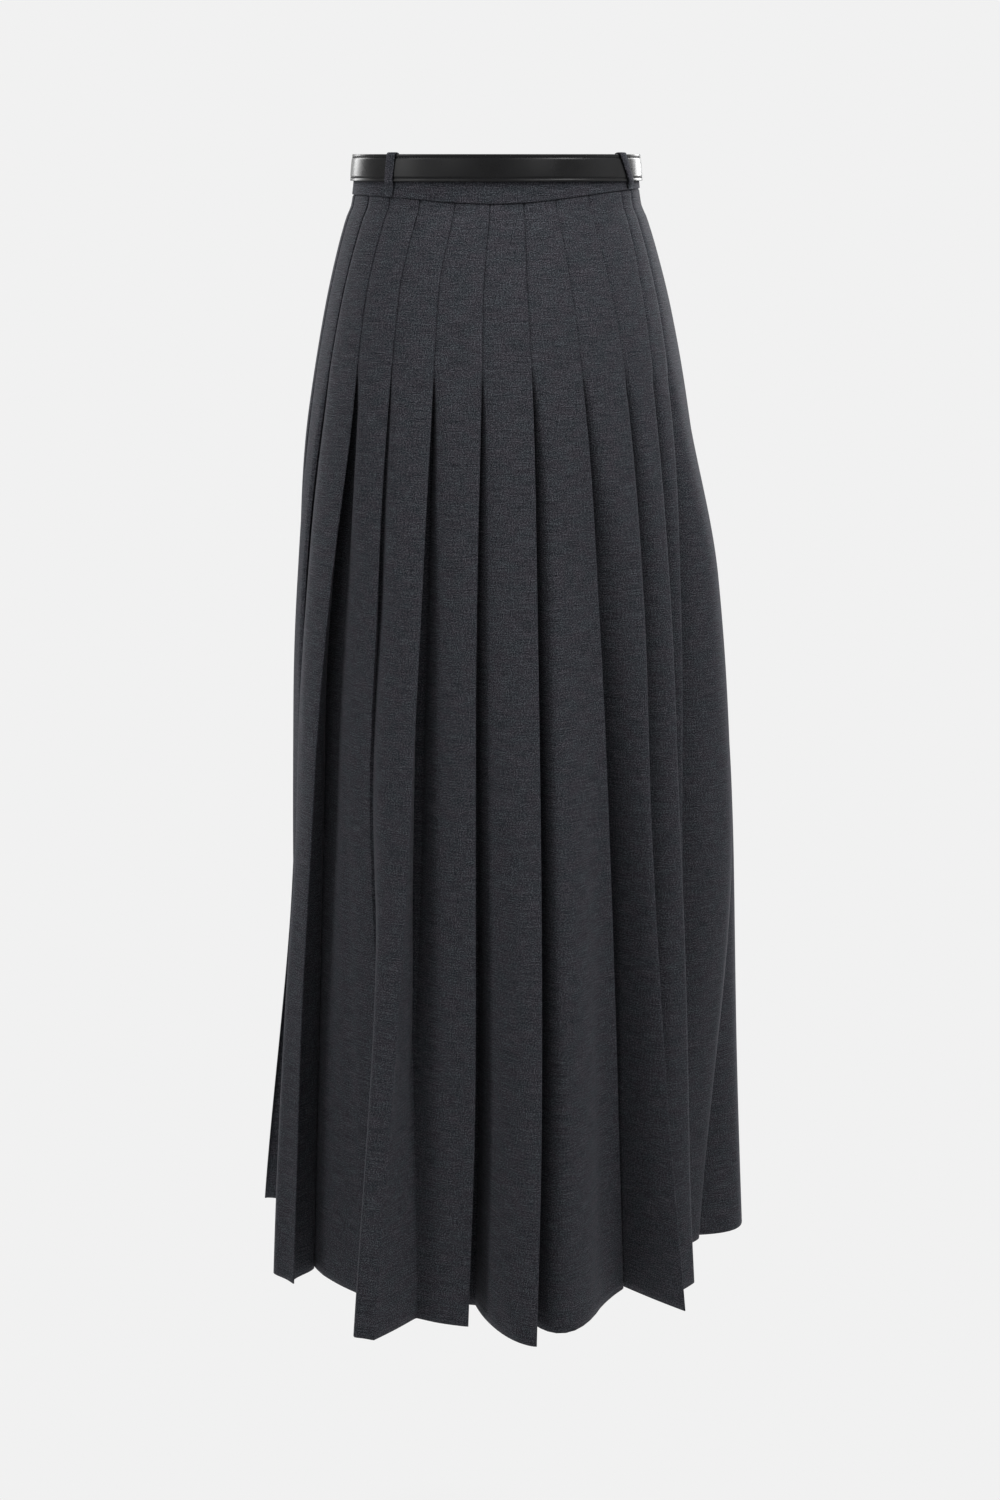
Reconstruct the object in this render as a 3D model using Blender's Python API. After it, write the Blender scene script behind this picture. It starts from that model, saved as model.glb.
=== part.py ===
"""Pleated maxi skirt with its own belt, worn shape with nothing inside it.

Metres, +Z up. The origin is the middle of the waist opening, level with the waistband's
upper edge. The garment's back faces -Y and its front, where the belt buckles, faces +Y.

A place on the garment is given by three numbers:
  turn   the angle round the body in radians, 0 at the centre back, growing towards +X
  out    the distance outwards from the body's oval at that height
  down   the distance below the waistband's upper edge
The cloth of a pleat runs round the body in a Z: a face, an outer fold that points towards
+turn, a return underneath it, an inner fold, and then the next face.
"""
import bpy
import numpy as np
from math import pi, radians

# Cloth
LENGTH = 0.99            # waistband's upper edge to hem
WALL = 0.0012            # thickness of the pleated cloth
LAYER = 0.0021           # between the layers of a pressed pleat, middle to middle
SEAM = 0.0003            # gap between pieces that are sewn together
SEWN_DOWN = 0.18         # the pleats are stitched flat down to here
PLEATS = 24
PRESSED_LAP = 0.012      # how far a stitched-down fold reaches under its face
MOUTH = 0.0018           # a face starts to rise this far past the fold before it
LAP_ROOM = 0.55          # most of the previous face that a fold may reach under

# Waistband and belt
FRONT_DIP = 0.0055       # the waist is cut this much lower at the centre front
FRONT_SPREAD = (radians(100), radians(160))    # round the body from the back
FRONT_FADE = (0.05, 0.17)                      # and gone by here, going down
BAND_WALL = 0.0020
BAND_OUT = -0.0001       # middle of the waistband's wall, from the oval
BAND_SIDE_DEPTH = 0.0298
BAND_BACK_DIP = 0.0085   # the band is deeper at the centre back
BAND_TILT = 0.0025
BAND_LAP = 0.034         # underlap at the left side opening
BAND_JOGGLE = 0.010      # the band steps inwards over this length before the underlap
BELT_WIDTH = 0.0218
BELT_THICK = 0.0026
BELT_TOP = -0.0008       # the belt stands this much above the waistband
BELT_END = 0.080         # free end past the buckle
BELT_START = 0.0035      # the strap begins this far past the buckle's heel bar
BELT_UNDER_FRAME = 0.006 # it is still on the band this far past the frame's far bar
BELT_RISEN = 0.008       # and lies over its own start this far before the heel bar
NOSE_LENGTH = 0.012      # rounded tip of the free end
NOSE_NARROW = 0.42       # part of the width that the tip loses at each edge
LOOP_WIDTH = 0.0078
LOOP_WALL = 0.0012
LOOPS = (("belt_loop_back_left", -53.0, -54.0), ("belt_loop_back_right", 51.0, 58.0),
         ("belt_loop_front_right", 127.0, 129.0),
         ("belt_loop_front_left", -127.0, -129.0))     # turn of its top and its foot
BUCKLE_LENGTH = 0.033
BUCKLE_BAR = 0.0013      # half thickness of the frame's bar
PRONG_RADIUS = 0.0011
HOLE_RADIUS = 0.0024
FIRST_HOLE = -0.002      # middle of the hole that the prong is in, from the heel bar
HOLE_PITCH = 0.020
HOLES = 4
KEEPER_AT = 0.028        # middle of the keeper past the buckle
KEEPER_WIDTH = 0.009

# The body's oval: down, half width, half depth, shift towards +Y
OVAL = np.array([
    (0.000, 0.1200, 0.0905,  0.000),
    (0.040, 0.1250, 0.0945,  0.000),
    (0.052, 0.1300, 0.0985, -0.001),
    (0.085, 0.1400, 0.1080, -0.004),
    (0.130, 0.1510, 0.1180, -0.008),
    (0.210, 0.1660, 0.1310, -0.012),
    (0.320, 0.1820, 0.1460, -0.014),
    (0.450, 0.1950, 0.1630, -0.016),
    (0.600, 0.2040, 0.1830, -0.018),
    (0.780, 0.2150, 0.2060, -0.021),
    (0.990, 0.2310, 0.2320, -0.025),
])

# One row for each pleat, in order round the body from the left side across the back.
#   its outer fold's turn at each of LEVELS, degrees
#   its out at the thigh, knee and hem, mm
#   knee_drop, hem_drop  step in from the previous fold to this face there, mm
#   knee_lap, hem_lap    reach of the inner fold under the previous face there, mm, below 0
#                        where the pleat hangs open
#   knee_bow, bow         1 a straight face there, and more where it swells at its start
#   belly                how far the hanging face swells near its start at the hem, mm
HIP, THIGH, KNEE, CALF = 0.21, 0.36, 0.55, 0.78
BOW_LEVELS = (SEWN_DOWN, 0.25, THIGH, KNEE, LENGTH)
PRESSED_BOW = (14.0, 7.0)       # at the first two of those: flatter where it is pressed
LEVELS = (0.045, 0.11, HIP, THIGH, KNEE, CALF, LENGTH)
PLEAT_ROWS = np.array([
    ( -87.5,  -88.0,  -89.5,  -92.5,  -99.0, -106.5, -112.5,  -6, -10,   8, 20, 36,  16,  24, 2.2,  1.2,  0),
    ( -69.0,  -72.0,  -74.0,  -78.5,  -82.0,  -80.5,  -78.0,  -5, -16, -45, 10, 32,  14,  20, 3.0,  1.4,  8),
    ( -54.4,  -57.2,  -56.5,  -60.0,  -64.9,  -68.5,  -68.0,  -1,  -3,  -6,  6,  8,  10,   6, 2.2, 12.0,  8),
    ( -39.1,  -42.5,  -42.5,  -42.9,  -45.1,  -43.8,  -44.0,  -5, -12, -45, 25, 30,  30,  26, 1.3,  1.0,  0),
    ( -24.3,  -28.0,  -28.2,  -29.0,  -31.4,  -34.9,  -37.3,   1,   2,  15,  5,  2,  -5,  -4, 2.2, 12.0,  4),
    ( -10.9,  -13.1,  -13.6,  -14.5,  -15.4,  -16.6,  -19.2,  -4, -10, -33, 32, 50,  12, -17, 2.2,  1.3,  0),
    (   2.0,    1.2,    1.5,    1.1,    0.5,   -0.8,   -3.1,   0,   0,   0, 20, 38,  16,  24, 2.2,  1.4,  0),
    (  15.0,   16.4,   17.6,   19.2,   21.3,   25.6,   30.2,  -8, -18, -62, 30, 43,  14,  17, 3.6,  1.0, 30),
    (  29.9,   31.9,   33.6,   33.0,   31.5,   32.0,   33.5,   0,   0,   5, 26, 22,  -7,   5, 1.2,  1.0,  0),
    (  50.6,   48.0,   46.0,   44.0,   42.4,   44.2,   46.5,   0,   0, -20, 38, 34,   9,   2, 1.0,  1.3,  0),
    (  59.6,   58.5,   55.5,   52.2,   49.5,   53.0,   58.0,  -5, -12, -50, 38, 34,  13,  16, 1.5,  1.2,  0),
    (  76.5,   76.0,   75.5,   73.8,   71.5,   71.0,   70.5,  10,  11, -41, 28, 18,  10,   6, 2.4,  1.4,  0),
    (  92.5,   92.5,   92.5,   91.0,   88.0,   86.0,   84.0,   5,  12,   0,  9, 14,  10,   6, 2.2,  4.0,  0),
    ( 109.5,  110.0,  109.5,  107.5,  105.0,  103.0,  101.0,  -2,  -4, -30, 22, 38,  15,  22, 2.2,  1.3,  0),
    ( 126.5,  126.0,  125.5,  125.5,  124.0,  122.0,  121.0,   0,   0,   8,  8, 10,  11,   8, 2.2,  6.0,  0),
    ( 141.0,  141.5,  141.5,  140.5,  140.0,  138.5,  137.0,  -4,  -8, -36, 28, 44,   4, -16, 2.2,  1.1,  0),
    ( 155.0,  154.5,  154.5,  155.5,  155.0,  154.5,  154.0,   0,   0,  -4, 18, 30,  14,  20, 2.2,  1.4,  0),
    ( 169.0,  169.5,  169.5,  169.0,  169.0,  168.5,  168.0,  -5, -12, -46, 20, 32,  14,  20, 2.2,  1.0, 14),
    ( 182.0,  181.5,  182.0,  182.0,  181.0,  180.0,  179.0,   0,   0,   6,  8, 10,  11,   8, 2.2,  6.0,  0),
    ( 195.5,  196.0,  195.5,  194.0,  193.0,  192.0,  191.0,  -2,  -4, -14, 22, 38,  14,  20, 2.2,  1.3,  0),
    ( 209.0,  208.5,  207.5,  206.5,  205.0,  203.5,  202.0,  -4, -10, -40, 18, 28,   6,  -8, 2.2,  1.2,  6),
    ( 223.0,  223.5,  222.5,  220.0,  218.0,  215.5,  213.0,   0,   0,   4,  8, 10,  11,   8, 2.2,  6.0,  0),
    ( 238.5,  237.5,  236.0,  234.0,  231.0,  227.5,  225.0,  -3,  -6, -24, 24, 40,  14,  20, 2.2,  1.4,  0),
    ( 255.0,  254.0,  253.0,  250.5,  247.0,  242.5,  238.0,  -4,  -6, -10, 18, 30,  14,  20, 2.2,  1.3,  0),
])
RINGS = (0.09, 0.13, SEWN_DOWN, 0.21, 0.27, 0.36, 0.47, 0.60, 0.74, 0.87, LENGTH)
PANELS = (("skirt_back_left", 1), ("skirt_back_right", 7),
          ("skirt_front_right", 13), ("skirt_front_left", 19))   # first pleat of each


def curve_through(x, xs, ys):
    """Height of a smooth curve through the points xs, ys that never overshoots them."""
    xs, ys = np.asarray(xs, float), np.asarray(ys, float)
    step = np.diff(xs)
    slope = np.diff(ys) / step
    same_way = slope[1:] * slope[:-1] > 0
    safe = np.where(same_way, slope[1:] + slope[:-1], 1)
    inner = np.where(same_way, 2 * slope[1:] * slope[:-1] / safe, 0)
    tangent = np.concatenate([slope[:1], inner, slope[-1:]])
    x = np.clip(x, xs[0], xs[-1])
    i = np.clip(np.searchsorted(xs, x) - 1, 0, len(step) - 1)
    t = (x - xs[i]) / step[i]
    rise = ys[i] * (1 + 2 * t) * (1 - t) ** 2 + ys[i + 1] * t * t * (3 - 2 * t)
    return rise + step[i] * (tangent[i] * t * (1 - t) ** 2 - tangent[i + 1] * t * t * (1 - t))


def oval(down):
    """Half width, half depth and shift towards +Y of the body's oval at that height."""
    return [curve_through(down, OVAL[:, 0], OVAL[:, column]) for column in (1, 2, 3)]


def smooth_step(x, low, high):
    """0 below low, 1 above high, and a smooth rise between them."""
    t = np.clip((x - low) / (high - low), 0, 1)
    return t * t * (3 - 2 * t)


def front_share(turn):
    """0 round the back and sides, 1 at the centre front."""
    from_back = np.abs((turn + pi) % (2 * pi) - pi)
    return smooth_step(from_back, *FRONT_SPREAD)


def place(turn, out, down):
    """World points for turn, out and down, which broadcast against each other."""
    turn, out, down = np.broadcast_arrays(turn, out, down)
    a, b, shift = oval(down)
    across, along = b * np.sin(turn), -a * np.cos(turn)
    size = np.hypot(across, along)
    x = a * np.sin(turn) + out * across / size
    y = shift - b * np.cos(turn) + out * along / size
    z = -down - FRONT_DIP * front_share(turn) * (1 - smooth_step(down, *FRONT_FADE))
    return np.stack([x, y, z], axis=-1)


def band_depth(turn):
    """Depth of the waistband, deepest at the centre back."""
    from_back = (np.asarray(turn) + pi) % (2 * pi) - pi
    dip = BAND_BACK_DIP * np.exp(-(from_back + 0.1) ** 2 / 0.44)
    return BAND_SIDE_DEPTH + dip - BAND_TILT * np.sin(turn)


def fold(number, down):
    """One pleat's outer fold at that height: its turn, out, drop, lap, bow and belly."""
    lap_round, index = divmod(number, PLEATS)
    turns = np.radians(PLEAT_ROWS[index][:len(LEVELS)])
    outs = (0, 0, *PLEAT_ROWS[index][len(LEVELS):len(LEVELS) + 3])
    knee_drop, hem_drop, knee_lap, hem_lap = PLEAT_ROWS[index][len(LEVELS) + 3:-3]
    knee_bow, bow, belly = PLEAT_ROWS[index][-3:]
    turn = curve_through(down, LEVELS, turns) + 2 * pi * lap_round
    out = curve_through(down, (0, HIP, THIGH, KNEE, LENGTH), outs) / 1000
    drops = (2000 * LAYER, knee_drop, hem_drop)
    drop = curve_through(down, (SEWN_DOWN, KNEE, LENGTH), drops) / 1000
    laps = (1000 * PRESSED_LAP, knee_lap, hem_lap)
    lap = curve_through(down, (SEWN_DOWN, KNEE, LENGTH), laps) / 1000
    bow = curve_through(down, BOW_LEVELS, (*PRESSED_BOW, 1.6 * knee_bow, knee_bow, bow))
    return turn, out, drop, lap, bow, belly / 1000 * smooth_step(down, SEWN_DOWN, CALF)


FACE_STEPS = (0.15, 0.42, 1.0)    # places across a face, from the previous fold to its own


def round_scale(turn, down):
    """Distance round the oval for one radian of turn there."""
    a, b = oval(down)[:2]
    return np.hypot(a * np.cos(turn), b * np.sin(turn))


def face(number, down):
    """Turn and out across one face at each height, from its inner fold to its outer fold.

    It starts at the inner fold, comes out from under the fold before it at its mouth, and
    then rises to its own fold, most steeply at its start. The part of the rise that is left
    is the part of the way that is left to the power of its bow. A belly is added, greatest a
    quarter of the way across.
    """
    before, before_out = fold(number - 1, down)[:2]
    turn, out, drop, lap, bow, belly = fold(number, down)
    scale = round_scale(before, down)
    mouth_out = before_out - drop
    room = LAP_ROOM * (before - fold(number - 2, down)[0])
    inner = before - np.minimum(lap / scale, room)
    mouth = before + np.minimum(MOUTH / scale, 0.12 * (turn - before))
    mouth = np.maximum(mouth, inner + MOUTH / scale)
    turns = [inner, mouth]
    outs = [mouth_out, mouth_out]
    for step in FACE_STEPS:
        turns.append(mouth + (turn - mouth) * step)
        swell = belly * 9.48 * step * (1 - step) ** 3
        outs.append(mouth_out + (out - mouth_out) * (1 - (1 - step) ** bow) + swell)
    return np.stack(turns, axis=-1), np.stack(outs, axis=-1)


def pleat(number, down):
    """Turn and out of one pleat's points at each height: its return, then its face.

    The return starts square to the end of the face before it, one layer away.
    """
    turns, outs = face(number, down)
    last_turns, last_outs = face(number - 1, down)
    scale = round_scale(last_turns[:, -1], down)
    onward = (last_turns[:, -1] - last_turns[:, -2]) * scale
    outward_rise = last_outs[:, -1] - last_outs[:, -2]
    size = np.hypot(onward, outward_rise)
    start_turn = last_turns[:, -1] + LAYER * outward_rise / size / scale
    start_out = last_outs[:, -1] - LAYER * onward / size
    turns = np.concatenate([start_turn[:, None], turns[:, :1], turns], axis=1)
    outs = np.concatenate([start_out[:, None], outs[:, :1] + LAYER, outs], axis=1)
    return turns, outs


def panel_points(first):
    """Grid of world points, rings by columns, for six pleats from the first one on.

    A panel begins and ends in the middle of an inner fold, half a seam gap short of it.
    """
    count = 6
    half = (LAYER - SEAM) / 2
    rings = np.array((0.0,) + RINGS)
    columns = [pleat(n, rings) for n in range(first, first + count + 1)]
    turns = np.concatenate([t for t, _ in columns], axis=1)
    outs = np.concatenate([o for _, o in columns], axis=1)
    per_pleat = columns[0][0].shape[1]
    turns = turns[:, 2:count * per_pleat + 2]
    outs = outs[:, 2:count * per_pleat + 2]
    start = outs[:, :1] + half
    end = outs[:, -1:] - half
    outs = np.concatenate([start, outs, end], axis=1)
    turns = np.concatenate([turns[:, :1], turns, turns[:, -1:]], axis=1)
    downs = np.repeat(rings[:, None], turns.shape[1], axis=1)
    downs[0] = band_depth(turns[0]) + SEAM
    return place(turns, outs, downs)


def material(name, colour, roughness, metallic=0.0):
    """A plain Principled material."""
    made = bpy.data.materials.new(name)
    made.use_nodes = True
    shader = made.node_tree.nodes["Principled BSDF"]
    shader.inputs["Base Color"].default_value = (*colour, 1)
    shader.inputs["Roughness"].default_value = roughness
    shader.inputs["Metallic"].default_value = metallic
    return made


def outward(points, faces):
    """The same faces, turned over if the closed mesh they make is inside out."""
    volume = 0.0
    for face in faces:
        for i in range(1, len(face) - 1):
            volume += np.dot(points[face[0]], np.cross(points[face[i]], points[face[i + 1]]))
    return faces if volume > 0 else [tuple(reversed(face)) for face in faces]


def add_mesh(name, points, faces, finish, closed=True):
    """A named object from world points and faces, with its origin at the world's."""
    points = np.asarray(points).reshape(-1, 3)
    mesh = bpy.data.meshes.new(name)
    mesh.from_pydata(points.tolist(), [], outward(points, faces) if closed else faces)
    mesh.materials.append(finish)
    thing = bpy.data.objects.new(name, mesh)
    bpy.context.scene.collection.objects.link(thing)
    return thing


def sheet_faces(rows, columns):
    """Quads of a grid of rows by columns."""
    return [(r * columns + c, r * columns + c + 1, (r + 1) * columns + c + 1, (r + 1) * columns + c)
            for r in range(rows - 1) for c in range(columns - 1)]


def tube_faces(stations, corners, closed=False):
    """Quads round a bar of that many stations and corners, with end caps unless closed."""
    faces = []
    for s in range(stations if closed else stations - 1):
        after = (s + 1) % stations
        for c in range(corners):
            d = (c + 1) % corners
            faces.append((s * corners + c, after * corners + c, after * corners + d, s * corners + d))
    if not closed:
        faces.append(tuple(range(corners)))
        faces.append(tuple(reversed(range((stations - 1) * corners, stations * corners))))
    return faces


def add_shell(name, grid, wall, finish):
    """A thin sheet through a grid of points, given its wall by Solidify."""
    rows, columns = grid.shape[:2]
    shell = add_mesh(name, grid, sheet_faces(rows, columns), finish, closed=False)
    solidify = shell.modifiers.new("wall", "SOLIDIFY")
    solidify.thickness = wall
    solidify.offset = 0
    solidify.use_even_offset = True
    return shell


def belt_turn(length):
    """Turn at that distance round the belt from the centre front."""
    turn = np.linspace(-pi, 5 * pi, 4321)
    a, b = oval(BELT_TOP + BELT_WIDTH / 2)[:2]
    along = np.cumsum(np.hypot(a * np.cos(turn), b * np.sin(turn))) * (turn[1] - turn[0])
    front = np.interp(pi, turn, along)
    return np.interp(front + np.asarray(length), along, turn)


def belt_girth():
    """Length once round the belt's line."""
    turn = np.linspace(0, 2 * pi, 1441)[:-1]
    a, b = oval(BELT_TOP + BELT_WIDTH / 2)[:2]
    return np.hypot(a * np.cos(turn), b * np.sin(turn)).mean() * 2 * pi


def add_strip(name, turns, outs, levels, wall, finish):
    """A strip standing on edge round the body, the middle of its wall at turns and outs.

    The levels are its edges and bends from top to bottom, each a distance down.
    """
    corners = [place(turns, outs + wall / 2, level) for level in reversed(levels)]
    corners += [place(turns, outs - wall / 2, level) for level in levels]
    return add_mesh(name, np.stack(corners, axis=1), tube_faces(len(turns), len(corners)), finish)


def add_waistband(finish):
    """The contoured waistband, closed at the left side over its own underlap."""
    first_inner = pleat(PANELS[0][1], np.array([0.05]))[0][0, 1]
    seam = float(first_inner)
    a = oval(0.0)[0]
    lap, joggle = BAND_LAP / a, BAND_JOGGLE / a
    under = BAND_OUT - BAND_WALL - SEAM
    round_body = np.linspace(seam, seam + 2 * pi - joggle, 64)
    tail = seam + 2 * pi + lap * np.linspace(0, 1, 4) - joggle * 0.25
    turns = np.concatenate([round_body, tail])
    outs = np.concatenate([np.full(64, BAND_OUT), np.full(4, under)])
    levels = (0.0, BELT_TOP + BELT_WIDTH, band_depth(turns))
    return add_strip("waistband", turns, outs, levels, BAND_WALL, finish)


def add_belt(finish):
    """The leather strap: once round over the waistband, then its free end over itself."""
    girth = belt_girth()
    inner = BAND_OUT + BAND_WALL / 2 + SEAM + BELT_THICK / 2
    outer = inner + BELT_THICK + SEAM
    under_frame = girth - BUCKLE_LENGTH + BELT_UNDER_FRAME
    over_bar = girth - BELT_RISEN
    once = np.linspace(BELT_START, under_frame, 72)
    rise = np.linspace(under_frame, over_bar, 5)[1:]
    end = np.linspace(girth, girth + BELT_END, 14)
    lengths = np.concatenate([once, rise, end])
    outs = np.interp(lengths, (under_frame, over_bar), (inner, outer))
    nose = np.clip((lengths - girth - BELT_END) / NOSE_LENGTH + 1, 0, 1)
    narrow = NOSE_NARROW * BELT_WIDTH * (1 - np.sqrt(1 - 0.92 * nose ** 2))
    levels = (BELT_TOP + narrow, BELT_TOP + BELT_WIDTH - narrow)
    strap = add_strip("belt_strap", belt_turn(lengths), outs, levels, BELT_THICK, finish)
    strap.modifiers.new("flat_faces", "TRIANGULATE")
    middle = BELT_TOP + BELT_WIDTH / 2
    for number in range(HOLES):
        length = girth + FIRST_HOLE + number * HOLE_PITCH
        turn = belt_turn(length)
        spot, ahead = place(turn, outer, middle), place(turn, outer + 1, middle)
        hole = add_mesh(f"hole_{number}", *round_peg(spot, ahead - spot), finish)
        hole.hide_render = True
        hole.display_type = "WIRE"
        cut = strap.modifiers.new(f"hole_{number}", "BOOLEAN")
        cut.operation = "DIFFERENCE"
        cut.solver = "EXACT"
        cut.object = hole


def round_peg(spot, way):
    """A short twelve-sided peg through spot, long enough to pass one strap layer only."""
    reach = BELT_THICK / 2 + 0.00012
    way = way / np.linalg.norm(way)
    up = np.array((0.0, 0.0, 1.0))
    side = np.cross(up, way)
    angle = np.arange(12) * 2 * pi / 12
    ring = HOLE_RADIUS * (np.cos(angle)[:, None] * side + np.sin(angle)[:, None] * up)
    points = np.concatenate([spot - reach * way + ring, spot + reach * way + ring])
    return points, tube_faces(2, 12)


def add_bar(name, path, half_wide, half_thick, corners, finish, closed=False):
    """A bar along a path of (length round the belt, out, down), oval in section.

    Its width lies in the belt's own surface, square to the path, and its thickness points
    outwards.
    """
    path = np.asarray(path, float)
    if closed:
        along = np.roll(path, -1, axis=0) - np.roll(path, 1, axis=0)
    else:
        along = np.gradient(path, axis=0)
    lean = np.hypot(along[:, 0], along[:, 2])
    size = np.linalg.norm(along, axis=1)
    flat = np.where(lean[:, None] > 1e-9, along[:, (0, 2)] / np.maximum(lean, 1e-9)[:, None], (1, 0))
    wide = np.stack([-flat[:, 1], np.zeros(len(path)), flat[:, 0]], axis=1)
    thick = np.stack([-flat[:, 0] * along[:, 1] / size, lean / size,
                      -flat[:, 1] * along[:, 1] / size], axis=1)
    angle = (np.arange(corners) + 0.5) * 2 * pi / corners
    ring = (half_wide * np.cos(angle)[None, :, None] * wide[:, None, :]
            + half_thick * np.sin(angle)[None, :, None] * thick[:, None, :])
    grid = path[:, None, :] + ring
    points = place(belt_turn(grid[..., 0]), grid[..., 1], grid[..., 2])
    return add_mesh(name, points, tube_faces(len(path), corners, closed), finish)


def add_buckle(metal):
    """A plain frame whose heel bar lies in the strap's own layer, and its prong."""
    girth = belt_girth()
    inner = BAND_OUT + BAND_WALL / 2 + SEAM + BELT_THICK / 2
    outer = inner + BELT_THICK + SEAM
    heel_out = inner
    far_out = inner + BELT_THICK / 2 + SEAM + BUCKLE_BAR
    heel, far = 0.0016, -BUCKLE_LENGTH
    half_high = BELT_WIDTH / 2 + SEAM + 0.0006 + BUCKLE_BAR
    middle = BELT_TOP + BELT_WIDTH / 2
    angle = np.arange(28) * 2 * pi / 28
    squared = 0.38          # below 1 rounds a rectangle's corners from an ellipse
    across = np.sign(np.cos(angle)) * np.abs(np.cos(angle)) ** squared
    up = np.sign(np.sin(angle)) * np.abs(np.sin(angle)) ** squared
    length = girth + (heel + far) / 2 + (heel - far) / 2 * across
    out = (heel_out + far_out) / 2 + (heel_out - far_out) / 2 * across
    add_bar("buckle_frame", np.stack([length, out, middle + half_high * up], axis=1),
            BUCKLE_BAR, BUCKLE_BAR, 6, metal, closed=True)

    over = outer + BELT_THICK / 2 + SEAM + PRONG_RADIUS
    rest = far_out + BUCKLE_BAR + SEAM + PRONG_RADIUS
    prong = [(-0.0015, heel_out + 0.0006), (-0.0020, outer), (-0.0034, over),
             (-0.0080, over + 0.0006), (-0.0200, rest), (-BUCKLE_LENGTH - 0.0016, rest)]
    path = [(girth + length, out, middle) for length, out in prong]
    add_bar("buckle_prong", path, PRONG_RADIUS, PRONG_RADIUS, 6, metal)


def add_keeper(finish):
    """A leather band over both strap layers, its ends sewn in behind the inner one."""
    girth = belt_girth()
    wall = 0.0012
    inner = BAND_OUT + BAND_WALL / 2 + SEAM
    front = inner + 2 * BELT_THICK + 2 * SEAM + wall / 2
    top = BELT_TOP - SEAM - wall / 2
    foot = BELT_TOP + BELT_WIDTH + SEAM + wall / 2
    profile = [(inner, top), (front, top), (front, foot), (inner, foot)]
    lengths = girth + KEEPER_AT + KEEPER_WIDTH * np.array((-0.5, 0.0, 0.5))
    grid = np.array([[(length, out, down) for length in lengths] for out, down in profile])
    points = place(belt_turn(grid[..., 0]), grid[..., 1], grid[..., 2])
    add_shell("belt_keeper", points, wall, finish)


def add_loop(name, top_turn, foot_turn, finish):
    """A belt loop: caught on the band's upper edge, over the belt, sewn at the band's seam."""
    foot_turn, top_turn = radians(foot_turn), radians(top_turn)
    depth = float(band_depth(foot_turn))
    band = BAND_OUT + BAND_WALL / 2 + SEAM + LOOP_WALL / 2
    over = band + BELT_THICK + 2 * SEAM
    above = -SEAM - LOOP_WALL / 2
    crest = BELT_TOP + above
    below = BELT_TOP + BELT_WIDTH
    profile = [(BAND_OUT - BAND_WALL / 2, above), (BAND_OUT + BAND_WALL / 2, crest),
               (over - 0.0008, crest), (over, crest + 0.0010), (over, below + 0.0004), (band, min(below + 0.0036, depth - 0.0030)),
               (band, depth - 0.0006)]
    out, down = np.array(profile).T
    middle = top_turn + (foot_turn - top_turn) * np.clip(down / depth, 0, 1)
    half = LOOP_WIDTH / 2 / round_scale(middle, down)
    turns = middle[:, None] + half[:, None] * np.array((-1.0, 1.0))
    add_shell(name, place(turns, out[:, None], down[:, None]), LOOP_WALL, finish)


def build():
    """The whole garment."""
    for thing in list(bpy.data.objects):
        bpy.data.objects.remove(thing, do_unlink=True)
    wool = material("charcoal_wool_melange", (0.045, 0.046, 0.055), 0.9)
    leather = material("black_smooth_leather", (0.018, 0.018, 0.020), 0.4)
    metal = material("dark_nickel_plate", (0.25, 0.25, 0.26), 0.3, 1.0)
    for name, first in PANELS:
        add_shell(name, panel_points(first), WALL, wool)
    add_waistband(wool)
    add_belt(leather)
    add_buckle(metal)
    add_keeper(leather)
    for name, top_turn, foot_turn in LOOPS:
        add_loop(name, top_turn, foot_turn, wool)


build()
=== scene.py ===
"""Pleated maxi skirt in charcoal worsted wool, with its waistband, loops and leather belt.

Metres, +Z up. The origin is the middle of the waist opening, level with the waistband's
upper edge. The garment's back faces -Y and its front, where the belt buckles, faces +Y.

A place on the garment is given by three numbers:
  turn   the angle round the body in radians, 0 at the centre back, growing towards +X
  out    the distance outwards from the body's oval at that height
  down   the distance below the waistband's upper edge
The cloth of a pleat runs round the body in a Z: a face, an outer fold that points towards
+turn, a return underneath it, an inner fold, and then the next face.
"""
from math import cos, pi, radians, sin

import bpy
import numpy as np
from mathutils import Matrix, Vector

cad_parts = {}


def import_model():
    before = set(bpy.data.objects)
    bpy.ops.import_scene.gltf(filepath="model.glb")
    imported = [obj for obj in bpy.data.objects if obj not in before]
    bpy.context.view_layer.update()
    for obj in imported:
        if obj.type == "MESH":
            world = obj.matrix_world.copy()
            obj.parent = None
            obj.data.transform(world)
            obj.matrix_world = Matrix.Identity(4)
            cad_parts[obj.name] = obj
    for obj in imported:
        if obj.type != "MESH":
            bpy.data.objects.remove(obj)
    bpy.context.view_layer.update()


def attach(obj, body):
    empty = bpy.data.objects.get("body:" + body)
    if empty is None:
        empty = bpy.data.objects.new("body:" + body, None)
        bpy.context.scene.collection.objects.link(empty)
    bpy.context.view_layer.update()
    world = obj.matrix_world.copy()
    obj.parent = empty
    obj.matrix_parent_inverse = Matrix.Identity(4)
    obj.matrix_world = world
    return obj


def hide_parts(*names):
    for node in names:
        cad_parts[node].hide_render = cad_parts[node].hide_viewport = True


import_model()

# Cloth
LENGTH = 0.99            # waistband's upper edge to hem
WALL = 0.0005            # thickness of the worsted
LAYER = 0.0007           # between the layers of a pressed pleat, middle to middle
SEWN_DOWN = 0.172        # the pleats are stitched flat down to here
PLEATS = 24
PRESSED_LAP = 0.012      # how far a stitched-down fold reaches under its face
MOUTH = 0.0008           # a face starts to rise this far past the fold before it
MOUTH_ROOM = 0.12        # or this share of the way to its own fold, if that is less
LAP_ROOM = 0.55          # most of the previous face that a fold may reach under
CLOSED_LAP = 0.008       # a pleat with at least this lap hangs closed
ROLL_REACH = 0.0045      # a hanging face turns in over this length before its fold
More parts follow.
